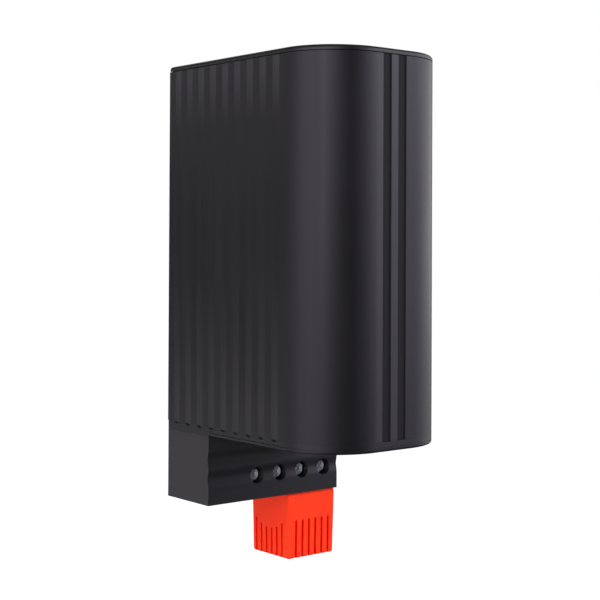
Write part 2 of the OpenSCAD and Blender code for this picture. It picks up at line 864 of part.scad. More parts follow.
// Insulated lead from a tab's receptacle, along the base, down into a terminal block
module lead(side, terminal) {
    from = [side * (tablet_t + electrode_t) / 2, sink_y - side * tab_y];
    to = [terminal_x[terminal], lead_y];
    run = norm(to - from);
    run_z = casing_z0 + lead_run;
    end_z = block_z1 - lead_hole_l;
    receptacle_t = electrode_t + 2 * receptacle_wall;
    receptacle_w = tab_w + 2 * (receptacle_wall - slide_gap);
    translate([from[0], from[1] + rear_y, 0]) {
        difference() {
            translate([-receptacle_t / 2, -receptacle_w / 2, receptacle_z0])
                cube([receptacle_t, receptacle_w, receptacle_h]);
            translate([-electrode_t / 2 - slide_gap, -tab_w / 2 - slide_gap, tab_z0])
                cube([electrode_t + 2 * slide_gap, tab_w + 2 * slide_gap, receptacle_h]);
        }
        rotate([0, 0, atan2(to[1] - from[1], to[0] - from[0])]) {
            translate([0, 0, run_z + lead_bend])
                cylinder(d = lead_d, h = receptacle_z0 + bite - run_z - lead_bend);
            translate([lead_bend, 0, run_z + lead_bend])
                rotate([90, 0, 0])
                    rotate([0, 0, 180])
                        lead_elbow();
            translate([lead_bend, 0, run_z])
                rotate([0, 90, 0])
                    cylinder(d = lead_d, h = run - 2 * lead_bend);
            translate([run - lead_bend, 0, run_z - lead_bend])
                rotate([90, 0, 0])
                    lead_elbow();
            translate([run, 0, end_z])
                cylinder(d = lead_d, h = run_z - lead_bend - end_z);
        }
    }
}

// Quarter bend of a lead
module lead_elbow() {
    rotate_extrude(angle = 90)
        translate([lead_bend, 0])
            circle(d = lead_d);
}

module terminal_block(i) {
    shank_hole_d = terminal_shank_d + 2 * thread_gap;
    color("gold")
        translate([terminal_x[i], rear_y, 0])
            difference() {
                translate([-block_w / 2, block_front, block_z0])
                    cube([block_w, block_d, block_h]);
                translate([0, -wire_y, block_z0 - bite])
                    cylinder(d = wire_bore_d, h = wire_bore_l + bite);
                translate([0, -wire_y, housing_z0 + terminal_screw_z])
                    rotate([90, 0, 0])
                        cylinder(d = shank_hole_d, h = housing_d);
                if (i % 2 == 1)
                    translate([0, lead_y, block_z1 - lead_hole_l])
                        cylinder(d = lead_hole_d, h = lead_hole_l + bite);
            }
}

module terminal_screws() {
    recess_w = terminal_head_d / 7;
    shank_l = -wire_y - wire_bore_d / 2 - block_front;
    color("darkgray")
        for (x = terminal_x)
            translate([x, block_front + rear_y, housing_z0 + terminal_screw_z])
                rotate([90, 0, 0])
                    difference() {
                        union() {
                            cylinder(d = terminal_head_d, h = terminal_head_t);
                            translate([0, 0, -shank_l])
                                cylinder(d = terminal_shank_d, h = shank_l + bite);
                        }
                        for (a = [45, 135])
                            rotate([0, 0, a])
                                translate([-terminal_head_d / 3, -recess_w / 2, terminal_head_t / 3])
                                    cube([terminal_head_d * 2 / 3, recess_w, terminal_head_t]);
                    }
}

// Strip that joins the first and third terminals and steps over the second
module link_bar() {
    foot = block_w / 2;
    from = terminal_x[0] + foot - link_t;
    to = terminal_x[2] - foot;
    link_y1 = block_front + slide_gap + link_w;
    color("peru")
        translate([0, link_y1 + rear_y, block_z1])
            rotate([90, 0, 0])
                linear_extrude(link_w) {
                    translate([terminal_x[0] - foot, 0])
                        square([2 * foot, link_t]);
                    translate([terminal_x[2] - foot, 0])
                        square([2 * foot, link_t]);
                    for (x = [from, to])
                        translate([x, 0])
                            square([link_t, link_rise + link_t]);
                    translate([from, link_rise])
                        square([to + link_t - from, link_t]);
                }
}

module plug_cap() {
    low_x = plug_w / 2 - plug_draft - plug_r;
    low_y = plug_d / 2 - plug_draft - plug_r;
    cut = plug_draft + plug_wall + vent_run;
    middle = (vent_count - 1) / 2;
    color(switch_red)
        translate([plug_x, -wire_y + rear_y, 0])
            difference() {
                hull() {
                    for (sx = [-1, 1], sy = [-1, 1]) {
                        translate([sx * low_x, sy * low_y, plug_z0 + plug_r])
                            sphere(plug_r, $fn = 24);
                        translate([sx * (low_x + plug_draft), sy * (low_y + plug_draft), cap_z1 - plug_r])
                            cylinder(r = plug_r, h = plug_r, $fn = 24);
                    }
                }
                translate([-cavity_w / 2, -cavity_d / 2, plug_z0 + plug_wall])
                    cube([cavity_w, cavity_d, plug_h]);
                for (i = [0:vent_count - 1], s = [-1, 1]) {
                    along = (i - middle) * vent_pitch;
                    rise = side_vent_rise * pow((i - middle) / middle, 2);
                    translate([along + vent_shift, s * (plug_d - cut) / 2, plug_z0])
                        vent(vent_w, cut, vent_h);
                    translate([s * (plug_w - cut) / 2, along + side_vent_shift, plug_z0])
                        vent(cut, vent_w, side_vent_h + rise);
                }
            }
}

// Slot of the cap, from its lower edge up, run past the wall along its deeper side
module vent(size_x, size_y, height) {
    run = [size_x + (size_x > size_y ? bite : 0), size_y + (size_y > size_x ? bite : 0)];
    translate([-run[0] / 2, -run[1] / 2, -bite])
        cube([run[0], run[1], height + bite]);
}

module plug_carrier() {
    insert_w = cavity_w - 2 * slide_gap;
    insert_d = cavity_d - 2 * slide_gap;
    neck_w = plug_w - 2 * neck_inset;
    neck_d = plug_d - 2 * neck_inset;
    color(switch_red)
        translate([0, -wire_y + rear_y, 0])
            difference() {
                union() {
                    translate([plug_x - neck_w / 2, -neck_d / 2, cap_z1])
                        cube([neck_w, neck_d, neck_h]);
                    translate([plug_x - insert_w / 2, -insert_d / 2, carrier_z0])
                        cube([insert_w, insert_d, carrier_t + bite]);
                }
                for (i = [2, 3])
                    translate([terminal_x[i], 0, carrier_z0 - bite])
                        cylinder(d = pin_d + 2 * thread_gap, h = carrier_t + neck_h + 2 * bite);
            }
}

// Round pin with a collar under the carrier and a riveted stub below the collar
module plug_pin(i, collar_z0) {
    color("gold")
        translate([terminal_x[i], -wire_y + rear_y, 0]) {
            translate([0, 0, carrier_z0 - bite])
                cylinder(d = pin_d, h = block_z0 + pin_l - carrier_z0 + bite);
            translate([0, 0, collar_z0])
                cylinder(d = collar_d, h = carrier_z0 - collar_z0);
            translate([0, 0, collar_z0 - strip_t - stub_l])
                cylinder(d = stub_d, h = strip_t + stub_l + bite);
        }
}

// Flat strip held by a pin's stub, from beyond the pin to beyond the contact
module switch_strip(pin_x, top_z, reach_x) {
    x0 = min(pin_x - strip_end, reach_x);
    x1 = max(pin_x + strip_end, reach_x);
    translate([0, -wire_y + rear_y, top_z - strip_t])
        difference() {
            translate([x0, -strip_w / 2, 0])
                cube([x1 - x0, strip_w, strip_t]);
            translate([pin_x, 0, -bite])
                cylinder(d = stub_d + 2 * thread_gap, h = strip_t + 2 * bite);
        }
}

module bimetal_strip() {
    color("tan")
        switch_strip(terminal_x[2], strip_z1, contact_x + contact_d / 2);
}

module contact_arm() {
    color("peru")
        switch_strip(terminal_x[3], arm_z1, contact_x - contact_d / 2);
}

// Round switch contact that stands on the given level
module switch_contact(z) {
    color("whitesmoke")
        translate([contact_x, -wire_y + rear_y, z])
            cylinder(d = contact_d, h = contact_h);
}

casing();
top_cover();
base();
terminal_housing();
rail_clip();
clip_screws();
cover_screws();
base_screws();
housing_screws();
heat_sink();
heating_tablet(0);  // heating_tablet_1
heating_tablet(1);  // heating_tablet_2
heating_tablet(2);  // heating_tablet_3
locating_frame();
electrode(-1);  // electrode_left
electrode(1);  // electrode_right
insulating_sleeve();
color("white") lead(-1, 1);  // lead_supply
color("white") lead(1, 3);  // lead_switched
terminal_block(0);  // terminal_block_1
terminal_block(1);  // terminal_block_2
terminal_block(2);  // terminal_block_3
terminal_block(3);  // terminal_block_4
terminal_screws();
link_bar();
plug_cap();
plug_carrier();
plug_pin(2, strip_z1);  // plug_pin_1
plug_pin(3, arm_z1);  // plug_pin_2
bimetal_strip();
contact_arm();
switch_contact(contact_z);  // moving_contact
switch_contact(arm_z1);  // fixed_contact
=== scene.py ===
"""Looks of the enclosure heater: black fluted casing, terminal housing and red plug-in temperature switch."""
import json
import math

import bmesh
import bpy
from mathutils import Matrix, Vector


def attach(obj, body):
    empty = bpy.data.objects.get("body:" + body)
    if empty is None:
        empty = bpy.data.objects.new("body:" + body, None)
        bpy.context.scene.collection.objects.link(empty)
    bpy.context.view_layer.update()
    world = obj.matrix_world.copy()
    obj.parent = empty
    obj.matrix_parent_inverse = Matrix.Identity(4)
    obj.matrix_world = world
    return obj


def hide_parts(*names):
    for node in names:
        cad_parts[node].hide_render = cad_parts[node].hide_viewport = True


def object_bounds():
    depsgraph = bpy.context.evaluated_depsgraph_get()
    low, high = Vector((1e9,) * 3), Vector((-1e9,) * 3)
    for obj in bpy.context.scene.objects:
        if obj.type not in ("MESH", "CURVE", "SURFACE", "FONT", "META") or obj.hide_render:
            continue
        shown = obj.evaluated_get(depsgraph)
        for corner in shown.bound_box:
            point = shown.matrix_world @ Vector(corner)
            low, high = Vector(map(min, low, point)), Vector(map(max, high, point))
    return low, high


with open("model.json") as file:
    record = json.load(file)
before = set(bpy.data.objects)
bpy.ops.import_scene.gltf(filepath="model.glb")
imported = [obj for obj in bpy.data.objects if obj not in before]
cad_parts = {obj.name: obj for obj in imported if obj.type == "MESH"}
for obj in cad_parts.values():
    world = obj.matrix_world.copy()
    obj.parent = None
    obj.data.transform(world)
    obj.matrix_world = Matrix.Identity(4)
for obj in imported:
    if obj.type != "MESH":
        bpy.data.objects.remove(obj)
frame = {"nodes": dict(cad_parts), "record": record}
cad_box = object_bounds()
NODES = frame["nodes"]
MM = 0.001
MERGE_DISTANCE = 0.002 * MM

# A face looks along an axis when its normal has more than this share there
FACING = 0.9

# Places on the heater
FRONT_Y = cad_box[0][1]
MIDDLE_Y = -45 * MM
PLUG_MIDDLE = (18.4 * MM, -15.7 * MM, -104 * MM)
HOUSING_LEFT = (-30 * MM, -14.5 * MM, -80 * MM)
SCREWS_MIDDLE = (7.7 * MM, -25 * MM, -83.3 * MM)

# Grooves, flutes and notches
GROOVE_REACH = 5.4 * MM
GROOVE_DEPTHS = (0.2 * MM, 1.0 * MM)
GROOVE_ROUGHNESS = 0.76
# LAND_FADE, GROOVE_WALL and FRONT_FADE bound the painted light on the lands
LAND_FADE = (-8.7 * MM, -7.3 * MM)
GROOVE_WALL = 0.1 * MM
FRONT_FADE = (FRONT_Y + 6.2 * MM, FRONT_Y + 7.2 * MM)
FLUTE_FLOOR = 0.12 * MM
FLUTE_DEPTHS = (0.01 * MM, 0.4 * MM)
FLUTES_END = -67.5 * MM
# UPPER_FADE and LOWER_FADE set where the painted sheen on the flutes grows
UPPER_FADE = (43 * MM, 60 * MM)
LOWER_FADE = (-10 * MM, -55 * MM)
# NOTCH_X and NOTCH_Z bound the notch faces that are painted paler to lift their shade
NOTCH_X = (28.6 * MM, 29.97 * MM)
NOTCH_Z = (-65 * MM, -64 * MM)
# SLOT_INSET and SLOT_RISE bound the slot walls that are painted a deeper red as shade
SLOT_INSET = 0.5 * MM
SLOT_RISE = 0.3 * MM

# Camera
LENS_MM = 80.221
LENS_DROP = -0.12580
CAMERA_PLACE = (-0.30514, -0.41454, 0.00147)
CAMERA_TURN = (90.767, -0.254, -39.290)

# Studio: each softbox has a name, an azimuth and a half angle in degrees, its lower and upper end and a glow
FLOOR_Z = -0.60
LIGHT_DISTANCE = 1.5
FLAGGED_DISTANCE = 0.8
COOL_WHITE = (0.985, 0.985, 1.07)
COOL_UP_TO = 70
SOFTBOXES = [
    ("rear_left_low", -150, 20, -0.56, -0.38, 2.6),
    ("rear_left_high", -150, 20, 0.24, 0.50, 1.2),
    ("left_rear", -120, 10, -0.10, 0.50, 0.3),
    ("left_low", -90, 20, -0.56, -0.10, 1.0),
    ("left", -90, 20, -0.10, 0.24, 1.5),
    ("left_high", -90, 20, 0.24, 0.95, 2.4),
    ("left_top", -90, 20, 0.95, 1.80, 0.4),
    ("left_main_low", -60, 10, -0.38, -0.10, 0.9),
    ("left_main", -60, 10, -0.10, 0.24, 2.6),
    ("left_main_high", -60, 10, 0.24, 0.95, 3.4),
    ("left_main_top", -60, 10, 0.95, 1.80, 0.7),
    ("left_front", -40, 10, -0.08, 0.32, 0.5),
    ("left_front_high", -40, 10, 0.32, 0.95, 3.5),
    ("right_front", 20, 10, 0.10, 0.95, 1.5),
    ("right_main_low", 40, 10, -0.29, 0.10, 2.0),
    ("right_main", 50, 20, 0.10, 0.32, 1.1),
    ("right_main_high", 50, 20, 0.32, 0.95, 3.8),
    ("right_main_top", 50, 20, 0.95, 1.80, 1.2),
    ("right_side", 60, 10, -0.56, 0.10, 0.8),
    ("right_rim_low", 90, 20, -0.56, -0.10, 0.8),
    ("right_rim", 90, 20, -0.10, 0.32, 2.4),
    ("right_rim_high", 90, 20, 0.32, 0.95, 1.2),
    ("rear_right", 150, 25, -0.30, 1.20, 2.2),
]


# Camera, floor and light

def place_camera():
    """Nearly level camera with its lens dropped, so that upright edges stay upright as in the photograph."""
    lens = bpy.data.cameras.new("camera")
    lens.sensor_width = 36.0
    lens.lens = LENS_MM
    lens.shift_y = LENS_DROP
    lens.clip_start = 0.01
    camera = bpy.data.objects.new("camera", lens)
    camera.location = CAMERA_PLACE
    camera.rotation_euler = [math.radians(angle) for angle in CAMERA_TURN]
    bpy.context.scene.collection.objects.link(camera)
    bpy.context.scene.camera = camera


def softbox(name, azimuth, half_angle, low, high, glow):
    """Upright softbox around the heater, from one height to another; its azimuth is counted from the
    heater's front towards its right side, and its glow is what a mirror would show."""
    wide = 2 * LIGHT_DISTANCE * math.tan(math.radians(half_angle))
    lamp = bpy.data.lights.new(name, "AREA")
    lamp.shape = "RECTANGLE"
    lamp.size = wide
    lamp.size_y = high - low
    lamp.energy = math.pi * wide * (high - low) * glow
    if 0 < azimuth < COOL_UP_TO:
        lamp.color = COOL_WHITE
    turn = math.radians(azimuth)
    middle = Vector((0, MIDDLE_Y, (low + high) / 2))
    out = Vector((math.sin(turn), -math.cos(turn), 0))
    box = bpy.data.objects.new(name, lamp)
    box.location = middle + LIGHT_DISTANCE * out
    box.rotation_euler = (-out).to_track_quat("-Z", "Y").to_euler()
    bpy.context.scene.collection.objects.link(box)


def level_lamp(name, size, glow, place, facing_up):
    """Square lamp that lies flat above or below the heater."""
    lamp = bpy.data.lights.new(name, "AREA")
    lamp.size = size
    lamp.energy = math.pi * size ** 2 * glow
    box = bpy.data.objects.new(name, lamp)
    box.location = place
    box.rotation_euler = (math.pi if facing_up else 0, 0, 0)
    bpy.context.scene.collection.objects.link(box)


def light_studio():
    """Softboxes on the left and the right, stepped in height, with a dark gap between the two groups, one
    behind, one lamp overhead and a bright patch of floor on the left."""
    for row in SOFTBOXES:
        softbox(*row)
    level_lamp("overhead", size=1.5, glow=0.30, place=(0, MIDDLE_Y, 1.6), facing_up=False)
    level_lamp("floor_patch", size=0.8, glow=1.72, place=(-0.9, MIDDLE_Y, -0.56), facing_up=True)


def flagged_lamp(name, pieces, target, azimuth, rise, size, glow):
    """Lamp that is linked to a few pieces and lights them alone."""
    lit = bpy.data.collections.new("lit_by_" + name)
    for piece in pieces:
        lit.objects.link(piece)
    turn = math.radians(azimuth)
    lamp = bpy.data.lights.new(name, "AREA")
    lamp.size = size
    lamp.energy = math.pi * size ** 2 * glow
    box = bpy.data.objects.new(name, lamp)
    aside = FLAGGED_DISTANCE * Vector((math.sin(turn), -math.cos(turn), 0))
    box.location = Vector(target) + aside + Vector((0, 0, rise))
    box.rotation_euler = (Vector(target) - box.location).to_track_quat("-Z", "Y").to_euler()
    box.light_linking.receiver_collection = lit
    bpy.context.scene.collection.objects.link(box)


# Node tools

def new_node(tree, kind, **settings):
    node = tree.nodes.new(kind)
    for key, value in settings.items():
        setattr(node, key, value)
    return node


def feed(tree, value, socket):
    """Links a socket into another one, or sets a plain value on it."""
    if isinstance(value, bpy.types.NodeSocket):
        tree.links.new(value, socket)
    else:
        socket.default_value = value


def sum_up(tree, operation, first, second):
    node = new_node(tree, "ShaderNodeMath", operation=operation)
    feed(tree, first, node.inputs[0])
    feed(tree, second, node.inputs[1])
    return node.outputs[0]


def spread(tree, value, low, high, to_low, to_high):
    node = new_node(tree, "ShaderNodeMapRange")
    for socket, number in zip(node.inputs, (value, low, high, to_low, to_high)):
        feed(tree, number, socket)
    return node.outputs[0]


def from_noise(tree, value, to_low, to_high):
    """Spreads the usual range of a noise over two values."""
    return spread(tree, value, 0.3, 0.7, to_low, to_high)


def shader_group(name, inputs, outputs):
    group = bpy.data.node_groups.new(name, "ShaderNodeTree")
    for label, kind, default in inputs:
        socket = group.interface.new_socket(label, in_out="INPUT", socket_type=kind)
        if default is not None:
            socket.default_value = default
    for label, kind in outputs:
        group.interface.new_socket(label, in_out="OUTPUT", socket_type=kind)
    return group, new_node(group, "NodeGroupInput"), new_node(group, "NodeGroupOutput")


def noise(tree, vector, scale, detail=2.0, rough=0.5):
    node = new_node(tree, "ShaderNodeTexNoise")
    feed(tree, vector, node.inputs["Vector"])
    feed(tree, scale, node.inputs["Scale"])
    node.inputs["Detail"].default_value = detail
    node.inputs["Roughness"].default_value = rough
    return node.outputs["Fac"]


def stretched(tree, vector, scale):
    node = new_node(tree, "ShaderNodeVectorMath", operation="MULTIPLY")
    feed(tree, vector, node.inputs[0])
    node.inputs[1].default_value = scale
    return node.outputs[0]


# Shared surface effects

def make_grain():
    """Spark-eroded grain of moulded plastic, and a broad cloud for its sheen."""
    group, given, result = shader_group(
        "moulded_grain",
        [("Vector", "NodeSocketVector", None), ("Scale", "NodeSocketFloat", 2500.0)],
        [("Height", "NodeSocketFloat"), ("Cloud", "NodeSocketFloat")],
    )
    fine = noise(group, given.outputs["Vector"], given.outputs["Scale"], 3.0, 0.6)
    coarse = noise(group, given.outputs["Vector"], sum_up(group, "MULTIPLY", given.outputs["Scale"], 0.35))
    height = sum_up(group, "ADD", fine, sum_up(group, "MULTIPLY", coarse, 0.6))
    broad = sum_up(group, "MULTIPLY", given.outputs["Scale"], 0.016)
    cloud = noise(group, given.outputs["Vector"], broad, 3.0)
    feed(group, height, result.inputs["Height"])
    feed(group, cloud, result.inputs["Cloud"])
    return group


def make_drawn_lines():
    """Fine lines that a die draws along the length of an extrusion, along Z."""
    group, given, result = shader_group(
        "drawn_lines",
        [("Vector", "NodeSocketVector", None), ("Scale", "NodeSocketFloat", 900.0)],
        [("Height", "NodeSocketFloat"), ("Streak", "NodeSocketFloat")],
    )
    along = stretched(group, given.outputs["Vector"], (1.0, 1.0, 0.006))
    fine = noise(group, along, given.outputs["Scale"], 4.0, 0.65)
    broad = noise(group, along, sum_up(group, "MULTIPLY", given.outputs["Scale"], 0.22), 2.0)
    feed(group, fine, result.inputs["Height"])
    feed(group, broad, result.inputs["Streak"])
    return group


def make_edge_rub():
    """Rubbed edges: the rounded-over faces, broken up so that the rub is uneven."""
    group, given, result = shader_group(
        "edge_rub",
        [("Vector", "NodeSocketVector", None), ("Edge", "NodeSocketFloat", 0.0),
         ("Scale", "NodeSocketFloat", 300.0)],
        [("Mask", "NodeSocketFloat")],
    )
    patch = noise(group, given.outputs["Vector"], given.outputs["Scale"], 4.0, 0.7)
    broken = spread(group, patch, 0.35, 0.65, 0.25, 1.0)
    feed(group, sum_up(group, "MULTIPLY", given.outputs["Edge"], broken), result.inputs["Mask"])
    return group


GRAIN = make_grain()
LINES = make_drawn_lines()
RUB = make_edge_rub()


def placed(tree, group, **values):
    node = new_node(tree, "ShaderNodeGroup", node_tree=group)
    for label, value in values.items():
        feed(tree, value, node.inputs[label])
    return node


def start_material(name):
    material = bpy.data.materials.new(name)
    material.use_nodes = True
    tree = material.node_tree
    shader = tree.nodes["Principled BSDF"]
    where = new_node(tree, "ShaderNodeTexCoord").outputs["Object"]
    return material, tree, shader, where


def blend_colours(tree, mask, first, second):
    node = new_node(tree, "ShaderNodeMix", data_type="RGBA")
    feed(tree, mask, node.inputs["Factor"])
    feed(tree, first, node.inputs["A"])
    feed(tree, second, node.inputs["B"])
    return node.outputs["Result"]


def raise_surface(tree, shader, height, depth_mm):
    bump = new_node(tree, "ShaderNodeBump")
    bump.inputs["Strength"].default_value = 1.0
    bump.inputs["Distance"].default_value = depth_mm * MM
    feed(tree, height, bump.inputs["Height"])
    feed(tree, bump.outputs["Normal"], shader.inputs["Normal"])


def face_value(tree, name):
    """A value that the faces of a piece carry, such as a mark on its rounded edges."""
    return new_node(tree, "ShaderNodeAttribute", attribute_name=name).outputs["Fac"]


VIOLET_SHEEN = (0.93, 0.87, 1.0, 1.0)


def axis_values(tree, where):
    """The place on a piece along each of its axes."""
    node = new_node(tree, "ShaderNodeSeparateXYZ")
    feed(tree, where, node.inputs[0])
    return node.outputs


def grey(value):
    """Black plastic with a faint violet cast."""
    return (value * 1.06, value, value * 1.18, 1.0)


# Finishes

def painted_light_on_lands(tree, where):
    """Mask of painted light: the rib between the two grooves, their walls and the land on their left are
    painted paler, as if lit.
    """
    place = axis_values(tree, where)
    left_end = spread(tree, place["X"], *LAND_FADE, 0.0, 1.0)
    right_end = spread(tree, place["X"], GROOVE_REACH, GROOVE_REACH + GROOVE_WALL, 1.0, 0.0)
    front = spread(tree, place["Y"], *FRONT_FADE, 1.0, 0.0)
    raised = spread(tree, face_value(tree, "groove"), 0.0, 1.0, front, 0.0)
    return sum_up(tree, "MULTIPLY", sum_up(tree, "MULTIPLY", left_end, right_end), raised)


def painted_sheen_on_flutes(tree, where):
    """Mask of painted sheen on the side flutes' floors: they are painted paler as if lit, more towards the
    ends of the casing.
    """
    height = axis_values(tree, where)["Z"]
    upper = spread(tree, height, *UPPER_FADE, 0.0, 1.0)
    lower = spread(tree, height, *LOWER_FADE, 0.0, 0.55)
    return sum_up(tree, "MULTIPLY", face_value(tree, "flute"), sum_up(tree, "MAXIMUM", upper, lower))


def extruded_black():
    material, tree, shader, where = start_material("extruded_black")
    lines = placed(tree, LINES, Vector=where, Scale=900.0)
    grain = placed(tree, GRAIN, Vector=where, Scale=1800.0)
    rub = placed(tree, RUB, Vector=where, Edge=face_value(tree, "edge"), Scale=260.0)
    cloud = from_noise(tree, grain.outputs["Cloud"], 0.0, 1.0)
    body = blend_colours(tree, cloud, grey(0.0035), grey(0.0055))
    # Painted light: the lands by the grooves get a paler grey, as if lit
    lands_painted_lit = blend_colours(tree, painted_light_on_lands(tree, where), body, grey(0.025))
    # Painted sheen: the flute floors get a paler grey towards the ends, as if lit
    sides_painted_sheen = blend_colours(tree, painted_sheen_on_flutes(tree, where), lands_painted_lit, grey(0.027))
    feed(tree, blend_colours(tree, rub.outputs["Mask"], sides_painted_sheen, grey(0.016)), shader.inputs["Base Color"])
    streaked = from_noise(tree, lines.outputs["Streak"], 0.42, 0.50)
    cloudy = from_noise(tree, grain.outputs["Cloud"], -0.02, 0.02)
    drawn = sum_up(tree, "ADD", streaked, cloudy)
    scored = spread(tree, face_value(tree, "groove"), 0.0, 1.0, drawn, GROOVE_ROUGHNESS)
    feed(tree, scored, shader.inputs["Roughness"])
    grains = sum_up(tree, "MULTIPLY", grain.outputs["Height"], 0.4)
    raise_surface(tree, shader, sum_up(tree, "ADD", lines.outputs["Height"], grains), 0.012)
    shader.inputs["Specular Tint"].default_value = VIOLET_SHEEN
    return material


def moulded_black(name, tone, rough, grain_scale, depth):
    material, tree, shader, where = start_material(name)
    grain = placed(tree, GRAIN, Vector=where, Scale=grain_scale)
    rub = placed(tree, RUB, Vector=where, Edge=face_value(tree, "edge"), Scale=320.0)
    cloud = from_noise(tree, grain.outputs["Cloud"], 0.0, 1.0)
    body = blend_colours(tree, cloud, grey(tone * 0.85), grey(tone * 1.15))
    rubbed = blend_colours(tree, rub.outputs["Mask"], body, grey(tone * 2.6))
    # Painted light: the notch faces get a paler grey to lift their shade
    notch_painted_light = blend_colours(tree, face_value(tree, "painted_notch_light"), rubbed, grey(0.035))
    feed(tree, notch_painted_light, shader.inputs["Base Color"])
    rough_map = from_noise(tree, grain.outputs["Cloud"], rough - 0.04, rough + 0.04)
    feed(tree, rough_map, shader.inputs["Roughness"])
    raise_surface(tree, shader, grain.outputs["Height"], depth)
    shader.inputs["Specular Tint"].default_value = VIOLET_SHEEN
    return material


def moulded_red():
    material, tree, shader, where = start_material("moulded_red")
    grain = placed(tree, GRAIN, Vector=where, Scale=2200.0)
    rub = placed(tree, RUB, Vector=where, Edge=face_value(tree, "edge"), Scale=320.0)
    cloud = from_noise(tree, grain.outputs["Cloud"], 0.0, 1.0)
    body = blend_colours(tree, cloud, (0.93, 0.034, 0.005, 1.0), (0.97, 0.042, 0.006, 1.0))
    rubbed = blend_colours(tree, rub.outputs["Mask"], body, (0.98, 0.060, 0.012, 1.0))
    # Painted shade: the slot walls get a deeper red
    deep = blend_colours(tree, face_value(tree, "slot"), rubbed, (0.95, 0.004, 0.001, 1.0))
    feed(tree, deep, shader.inputs["Base Color"])
    feed(tree, from_noise(tree, grain.outputs["Cloud"], 0.44, 0.52), shader.inputs["Roughness"])
    raise_surface(tree, shader, grain.outputs["Height"], 0.006)
    shader.inputs["Specular IOR Level"].default_value = 0.12
    shader.inputs["Subsurface Weight"].default_value = 0.7
    shader.inputs["Subsurface Radius"].default_value = (1.0, 0.05, 0.02)
    shader.inputs["Subsurface Scale"].default_value = 2.0 * MM
    return material


def rolled_metal(name, colour, rough, lines_along, line_depth, metallic=1.0):
    """Plated or rolled metal with drawn lines along one axis and cloudy plating."""
    material, tree, shader, where = start_material(name)
    turned = new_node(tree, "ShaderNodeMapping")
    turned.inputs["Rotation"].default_value = {
        "X": (0, math.radians(90), 0), "Y": (math.radians(90), 0, 0), "Z": (0, 0, 0)}[lines_along]
    feed(tree, where, turned.inputs["Vector"])
    lines = placed(tree, LINES, Vector=turned.outputs["Vector"], Scale=1400.0)
    grain = placed(tree, GRAIN, Vector=where, Scale=3000.0)
    rub = placed(tree, RUB, Vector=where, Edge=face_value(tree, "edge"), Scale=500.0)
    shade = from_noise(tree, grain.outputs["Cloud"], 0.0, 1.0)
    dull = tuple(c * 0.82 for c in colour) + (1.0,)
    bright = tuple(min(1.0, c * 1.12) for c in colour) + (1.0,)
    body = blend_colours(tree, shade, dull, tuple(colour) + (1.0,))
    feed(tree, blend_colours(tree, rub.outputs["Mask"], body, bright), shader.inputs["Base Color"])
    shader.inputs["Metallic"].default_value = metallic
    rough_map = from_noise(tree, lines.outputs["Streak"], rough - 0.06, rough + 0.08)
    feed(tree, rough_map, shader.inputs["Roughness"])
    raise_surface(tree, shader, lines.outputs["Height"], line_depth)
    return material


def speckled(name, light, dark, rough, scale, depth):
    """Ceramic or heat-resistant moulding with fine specks."""
    material, tree, shader, where = start_material(name)
    grain = placed(tree, GRAIN, Vector=where, Scale=scale)
    specks = spread(tree, grain.outputs["Height"], 0.6, 1.0, 0.0, 1.0)
    feed(tree, blend_colours(tree, specks, dark + (1.0,), light + (1.0,)), shader.inputs["Base Color"])
    rough_map = from_noise(tree, grain.outputs["Cloud"], rough - 0.06, rough + 0.06)
    feed(tree, rough_map, shader.inputs["Roughness"])
    raise_surface(tree, shader, grain.outputs["Height"], depth)
    return material


FINISH = {
    "casing_plastic": extruded_black(),
    "cover_plastic": moulded_black("moulded_black", 0.0065, 0.42, 2400.0, 0.010),
    "housing_plastic": moulded_black("grained_black", 0.006, 0.54, 1900.0, 0.014),
    "spring_steel": rolled_metal("spring_steel", (0.62, 0.63, 0.65), 0.30, "Z", 0.004),
    "zinc_screws": rolled_metal("zinc_plate", (0.36, 0.375, 0.40), 0.60, "X", 0.002, metallic=0.55),
    "black_screws": rolled_metal("blackened_steel", (0.05, 0.05, 0.055), 0.36, "X", 0.003),
    "sink_aluminium": rolled_metal("drawn_aluminium", (0.74, 0.75, 0.77), 0.34, "Z", 0.010),
    "tablet_ceramic": speckled("dark_ceramic", (0.16, 0.16, 0.17), (0.10, 0.10, 0.11), 0.62, 2600.0, 0.008),
    "frame_plastic": speckled("pale_moulding", (0.82, 0.78, 0.68), (0.74, 0.70, 0.60), 0.50, 2000.0, 0.006),
    "brass": rolled_metal("brass", (0.78, 0.60, 0.30), 0.28, "Y", 0.003),
    "amber_film": speckled("amber_film", (0.80, 0.40, 0.09), (0.68, 0.32, 0.06), 0.30, 900.0, 0.002),
    "lead_insulation": speckled(
        "white_insulation", (0.86, 0.86, 0.84), (0.79, 0.79, 0.76), 0.52, 2600.0, 0.004),
    "switch_plastic": moulded_red(),
    "strip_metal": rolled_metal("bimetal", (0.64, 0.55, 0.44), 0.30, "X", 0.003),
    "contact_metal": rolled_metal("silver_contact", (0.88, 0.87, 0.85), 0.22, "X", 0.002),
}
SLOT_OF = {part["node"]: part["material_slot"] for part in frame["record"]["subparts"]}


# Pieces

def as_piece(obj, node):
    """The object stands for a CAD node, which it hides, and hangs on the root body."""
    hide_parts(node)
    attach(obj, "root")
    return obj


def plain_mesh(obj):
    """Turns an object's modifiers into a plain mesh."""
    graph = bpy.context.evaluated_depsgraph_get()
    mesh = bpy.data.meshes.new_from_object(obj.evaluated_get(graph))
    obj.modifiers.clear()
    obj.data = mesh
    mesh.name = obj.name
    return mesh


